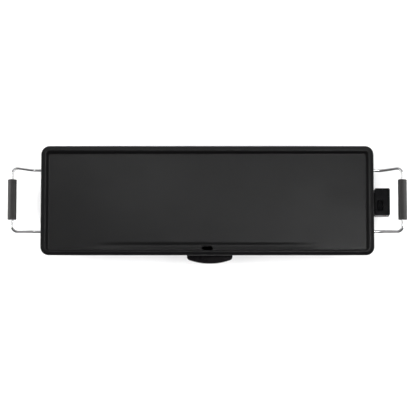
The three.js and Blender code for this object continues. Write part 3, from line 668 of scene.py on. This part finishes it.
def make_tray():
    """A bowed lip with a turned-down front edge, round a bowl that stays under the plate."""
    low, high, middle = place("drip_tray")
    lip, ease, turn, fillet, ledge = 3 * MM, 1.2 * MM, 3 * MM, 4 * MM, 5 * MM
    under_lip = high.z - lip
    bowl_front, bowl_rear = PLATE_LOW.y + 2 * MM, high.y - ledge
    bowl_size = (high.x - low.x - 2 * ledge, bowl_rear - bowl_front)
    bowl_at = (middle.x, (bowl_front + bowl_rear) / 2)

    def bowl(inset):
        size = (bowl_size[0] - 2 * inset, bowl_size[1] - 2 * inset)
        return rounded(size, max(6 * MM - inset, 3 * MM), 8, at=bowl_at)

    edge = [(ease - dx, under_lip + ease + dz) for dx, dz in arc((0, 0), ease, -90, 0, 4)]
    edge += [(ease - dx, high.z - ease + dz) for dx, dz in arc((0, 0), ease, 0, 90, 4)]
    tray = to_object(outline_skin(tray_outline, edge), "grease_tray")
    outside = [(turn + 1 * MM, low.z)]
    outside += [(turn - dx, low.z + turn + dz) for dx, dz in arc((0, 0), turn, -90, 0, 6)]
    outside += [(0, under_lip + 1 * MM)]
    tip = 0.5 * MM
    pull_foot, pull_top = under_lip - 5 * MM, under_lip + 1.5 * MM
    pull = [(tip, pull_foot), (0, pull_foot + tip), (0, pull_top)]
    pull += [(WALL, pull_top), (WALL, pull_foot + tip), (WALL - tip, pull_foot)]
    pull_rings = [[(x, y, z) for x, y in tray_outline(inset)] for inset, z in pull]
    turned_down = to_object(skin(pull_rings, capped=False), "pull")
    behind = rounded((0.2, 0.2), 1 * MM, 1, at=(middle.x, PLATE_LOW.y - 1 * MM + 0.1))
    boolean(turned_down, [block(behind, 0, high.z + 1 * MM)])
    pull_mesh = bmesh.new()
    pull_mesh.from_mesh(turned_down.data)
    bpy.data.objects.remove(turned_down)
    boolean(tray, [outline_skin(bowl, outside), pull_mesh], "UNION")
    inner = WALL + fillet
    inside = [(inner - dx, low.z + inner + dz) for dx, dz in arc((0, 0), fillet, -90, 0, 6)]
    inside += [(WALL, high.z - 0.8 * MM), (WALL - 0.9 * MM, high.z + 0.1 * MM)]
    boolean(tray, [outline_skin(bowl, inside)])
    piece(tray, "tray", "enamel", replaced=["drip_tray"], angle=30)


# ---------------------------------------------------------------- controller
def make_shells():
    """The controller's two shells with eased edges, the wheel's slot and the lens's hole."""
    top_low, top_high, top = place("controller_top_shell")
    low_low, low_high, _ = place("controller_bottom_shell")
    wheel_low, wheel_high, wheel = place("dial_wheel")
    lens = place("pilot_lens")[2]
    gland = place("cord_gland")[2]
    block_low, block_high, contacts = place("contact_block")
    size = (top_high.x - top_low.x, top_high.y - top_low.y)
    middle = (top.x, top.y)
    corner = 3 * MM

    def ring(inset, z):
        shape = (size[0] - 2 * inset, size[1] - 2 * inset)
        return [(x, y, z) for x, y in rounded(shape, max(corner - inset, 0.8 * MM), 8, at=middle)]

    def shell(name, node, outer_z, outward, split_z, cuts):
        hollow_z = outer_z - outward * WALL
        ease = 1.3 * MM
        turn = [(ease - dx, dz) for dx, dz in arc((0, 0), ease, 0, 90, 6)]
        rings = [ring(CLEARANCE, split_z), ring(0, split_z + outward * CLEARANCE)]
        rings += [ring(inset, outer_z - outward * (ease - dz)) for inset, dz in turn]
        hollow = [ring(WALL, split_z - outward * 1 * MM), ring(WALL, hollow_z)]
        if outward < 0:
            rings.reverse()
            hollow.reverse()
        opening_size = (9 * MM, block_high.y - block_low.y + 2 * CLEARANCE)
        opening = rounded(opening_size, 0.5 * MM, 2, at=(top_low.x, contacts.y))
        made = to_object(skin(rings), name)
        passage = block(opening, block_low.z - CLEARANCE, block_high.z + CLEARANCE)
        boolean(made, [skin(hollow), passage, *cuts])
        piece(made, "controller", "phenolic", replaced=[node], angle=30)

    slot_side, slot_length, slot_corner, flare = 0.8 * MM, 21.2 * MM, 1.2 * MM, 0.8 * MM
    slot_size = (wheel_high.x - wheel_low.x + 2 * slot_side, slot_length)
    slot = []
    for grow, z in ((0, -4 * MM), (0, -flare), (flare, 0.1 * MM)):
        grown = (slot_size[0] + 2 * grow, slot_size[1] + 2 * grow)
        shape = rounded(grown, slot_corner + grow, 5, at=(wheel.x, wheel.y))
        slot.append([(x, y, top_high.z + z) for x, y in shape])
    lens_bore, cord_bore, screw_bore = 3.8 * MM, 5 * MM, 2.7 * MM
    lens_hole = [(lens_bore, top_low.y - 1 * MM), (lens_bore, top_low.y + 4 * MM)]
    upper_cuts = [skin(slot), turned(lens_hole, (lens.x, 0, lens.z), "y", 32)]
    shell("controller_cover", "controller_top_shell", top_high.z, 1, top_low.z, upper_cuts)

    cord_hole = [(cord_bore, low_high.x - 4 * MM), (cord_bore, low_high.x + 1 * MM)]
    lower_cuts = [turned(cord_hole, (0, gland.y, gland.z), "x", 32)]
    for end in ("front", "rear"):
        screw = place(f"shell_screw_{end}")[2]
        bore = [(screw_bore, low_low.z - 1 * MM), (screw_bore, low_low.z + 4 * MM)]
        lower_cuts.append(turned(bore, (screw.x, screw.y, 0), "z", 24))
    shell("controller_base", "controller_bottom_shell", low_low.z, -1, low_high.z, lower_cuts)


def make_wheel():
    """The temperature wheel: rounded ribs across its rim and eased side faces."""
    low, high, middle = place("dial_wheel")
    radius, bore = (high.z - low.z) / 2, 2.8 * MM
    ribs, steps_per_rib, roundness = 28, 8, 0.7
    depth, ease = 0.9 * MM, 0.7 * MM
    rings = []
    for x, shrink in ((low.x, ease), (low.x + ease, 0), (high.x - ease, 0), (high.x, ease)):
        ring = []
        for k in range(ribs * steps_per_rib):
            angle = TAU * k / (ribs * steps_per_rib)
            wave = abs(math.sin(ribs * angle / 2)) ** roundness
            reach = radius - shrink - depth * (1 - wave)
            ring.append((x, middle.y + reach * math.cos(angle), middle.z + reach * math.sin(angle)))
        rings.append(ring)
    wheel = to_object(skin(rings), "temperature_wheel")
    hole = [(bore, low.x - 1 * MM), (bore, high.x + 1 * MM)]
    boolean(wheel, [turned(hole, (0, middle.y, middle.z), "x", 32)])
    piece(wheel, "dial", "phenolic", replaced=["dial_wheel"], angle=35)


def make_lens():
    low, high, middle = place("pilot_lens")
    radius = (high.x - low.x) / 2
    dome_height, dome_share, dome_curve, edge_y = 0.9 * MM, 0.94, 2.5, low.y + 1.3 * MM
    steps = 8
    dome = []
    for k in range(steps + 1):
        share = k / steps
        dome.append((radius * share * dome_share, low.y + dome_height * share ** dome_curve))
    dome += [(radius, edge_y), (radius, high.y), (0, high.y)]
    lens = to_object(turned(dome, (middle.x, 0, middle.z), "y", 40), "pilot_light_lens")
    piece(lens, "controller", "lens", replaced=["pilot_lens"], angle=50)


def make_gland():
    low, high, middle = place("cord_gland")
    radius, bore, flange = 4.7 * MM, 3.5 * MM, 5.9 * MM
    inner_ease, outer_ease, flange_x = 0.4 * MM, 0.5 * MM, low.x + 1.6 * MM
    profile = [
        (bore + inner_ease, low.x), (flange - inner_ease, low.x), (flange, low.x + inner_ease),
        (flange, flange_x), (radius, flange_x), (radius, high.x - outer_ease), (radius - outer_ease, high.x),
        (bore + outer_ease, high.x), (bore, high.x - outer_ease), (bore, low.x + inner_ease),
    ]
    gland = to_object(turned(profile + profile[:1], (0, middle.y, middle.z), "x", 40), "cord_grommet")
    piece(gland, "controller", "rubber", replaced=["cord_gland"])


# ---------------------------------------------------------------- pieces that keep their CAD shape
KEPT = {
    "inlet_shroud": "phenolic",
    "contact_block": "phenolic",
    "tray_rail": "steel",
    "screw": "steel",
    "dial_shaft": "steel",
    "sensor_probe": "steel",
    "terminal_pin": "brass",
    "contact_socket": "brass",
    "thermostat_switch": "brass",
    "terminal_insulator": "ceramic",
    "neon_lamp": "glass",
}


def finish_kept_nodes():
    """Gives every CAD node that still shows its material and eased, smoothly shaded edges."""
    for name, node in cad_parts.items():
        if node.hide_render:
            continue
        finish = next(finish for part, finish in KEPT.items() if part in name)
        node.data.materials.clear()
        node.data.materials.append(FINISHES[finish])
        weld = node.modifiers.new("weld", "WELD")
        weld.merge_threshold = 0.005 * MM
        bevel = node.modifiers.new("bevel", "BEVEL")
        bevel.width = 0.25 * MM
        bevel.segments = 2
        bevel.angle_limit = math.radians(35)
        bevel.harden_normals = True


# ---------------------------------------------------------------- floor, light and camera
def make_floor():
    size = 14.0
    half, thick = size / 2, 0.02
    square = [(half, half), (-half, half), (-half, -half), (half, -half)]
    floor = to_object(skin([[(x, y, z) for x, y in square] for z in (-thick, 0)]), "floor")
    n = Nodes("floor_paper", Specular_IOR_Level=0.1)
    n.colour(n.blend(n.noise(3, 2), (0.90, 0.90, 0.905), (0.93, 0.93, 0.93)))
    n.rough(n.ramp(n.noise(40), 0.8, 0.9))
    floor.data.materials.append(n.material)


def softbox(name, at, size, power, reflected=False):
    data = bpy.data.lights.new(name, "AREA")
    data.shape = "RECTANGLE"
    data.size, data.size_y = size
    data.energy = power
    light = bpy.data.objects.new(name, data)
    light.location = at
    light.rotation_euler = (-Vector(at)).to_track_quat("-Z", "Y").to_euler()
    light.visible_glossy = reflected
    light.visible_camera = False
    bpy.context.scene.collection.objects.link(light)
    return light


GLOW_BACK, GLOW_RIGHT = math.radians(28), math.radians(10)  # the glow's middle, tilted from straight up


def make_light():
    """Four softboxes light the paper. Gloss mirrors a wash and a glow, and the handles two side panels."""
    handles = bpy.data.collections.new("handles")
    for side in ("left", "right"):
        for name in (f"grip_sleeve_{side}", f"chrome_handle_{side}"):
            handles.objects.link(bpy.data.objects[name])
    world = bpy.data.worlds.new("studio")
    bpy.context.scene.world = world
    world.use_nodes = True
    tree = world.node_tree
    where = tree.nodes.new("ShaderNodeTexCoord")
    towards = tree.nodes.new("ShaderNodeVectorMath")
    towards.operation = "DOT_PRODUCT"
    towards.inputs[1].default_value = Vector((math.tan(GLOW_RIGHT), math.tan(GLOW_BACK), 1)).normalized()
    split = tree.nodes.new("ShaderNodeSeparateXYZ")
    wash = tree.nodes.new("ShaderNodeMapRange")
    glow = tree.nodes.new("ShaderNodeMapRange")
    glow.interpolation_type = "SMOOTHSTEP"
    for key, wash_number, glow_number in (
        ("From Min", -0.3, 0.82), ("From Max", 0.7, 1.0), ("To Min", 0.10, 0), ("To Max", 0.50, 0.05),
    ):
        wash.inputs[key].default_value = wash_number
        glow.inputs[key].default_value = glow_number
    total = tree.nodes.new("ShaderNodeMath")
    tree.links.new(where.outputs["Generated"], towards.inputs[0])
    tree.links.new(where.outputs["Generated"], split.inputs[0])
    tree.links.new(split.outputs["Y"], wash.inputs["Value"])
    tree.links.new(towards.outputs["Value"], glow.inputs["Value"])
    tree.links.new(wash.outputs["Result"], total.inputs[0])
    tree.links.new(glow.outputs["Result"], total.inputs[1])
    tree.links.new(total.outputs["Value"], tree.nodes["Background"].inputs["Strength"])
    tree.nodes["Background"].inputs["Color"].default_value = (1, 1, 1, 1)
    away, up = 2.6, 1.9
    softbox("softbox_left", (-away, 0, up), (1.6, 2.4), 75)
    softbox("softbox_right", (away, 0, up), (1.6, 2.4), 75)
    softbox("softbox_back", (0, away, up), (2.6, 1.6), 62)
    softbox("softbox_front", (0, -away, up), (2.6, 1.6), 112)
    for name, x in (("panel_left", -0.95), ("panel_right", 0.95)):
        panel = softbox(name, (x, 0.05, 0.45), (0.7, 0.7), 2.8, reflected=True)
        panel.light_linking.receiver_collection = handles
    softbox("glow_right", (0.46, 0.12, 2.5), (0.26, 0.26), 2.7, reflected=True)
    softbox("glow_left", (-0.21, 0.56, 2.5), (0.36, 0.30), 1.4, reflected=True)


CAMERA_DISTANCE = 4.7
VIEW_WIDTH = 0.8726  # across the picture at the rim's height
ELEVATION = math.radians(82)
AIM_RIGHT, AIM_FORWARD = 1.4 * MM, 16.5 * MM  # from the plate's middle to the middle of the picture


def make_camera():
    data = bpy.data.cameras.new("camera")
    data.sensor_width = 36
    data.lens = data.sensor_width * CAMERA_DISTANCE / VIEW_WIDTH
    data.clip_end = 50
    camera = bpy.data.objects.new("camera", data)
    aim = Vector((AIM_RIGHT, PLATE_Y - AIM_FORWARD, RIM_Z))
    back = Vector((0, -math.cos(ELEVATION), math.sin(ELEVATION)))
    camera.location = aim + back * CAMERA_DISTANCE
    camera.rotation_euler = (-back).to_track_quat("-Z", "Y").to_euler()
    bpy.context.scene.collection.objects.link(camera)
    bpy.context.scene.camera = camera
    bpy.context.scene.view_settings.view_transform = "Standard"


make_camera()
make_floor()
make_plate()
make_element()
make_handles()
make_light()
make_legs()
make_tray()
make_shells()
make_wheel()
make_lens()
make_gland()
finish_kept_nodes()
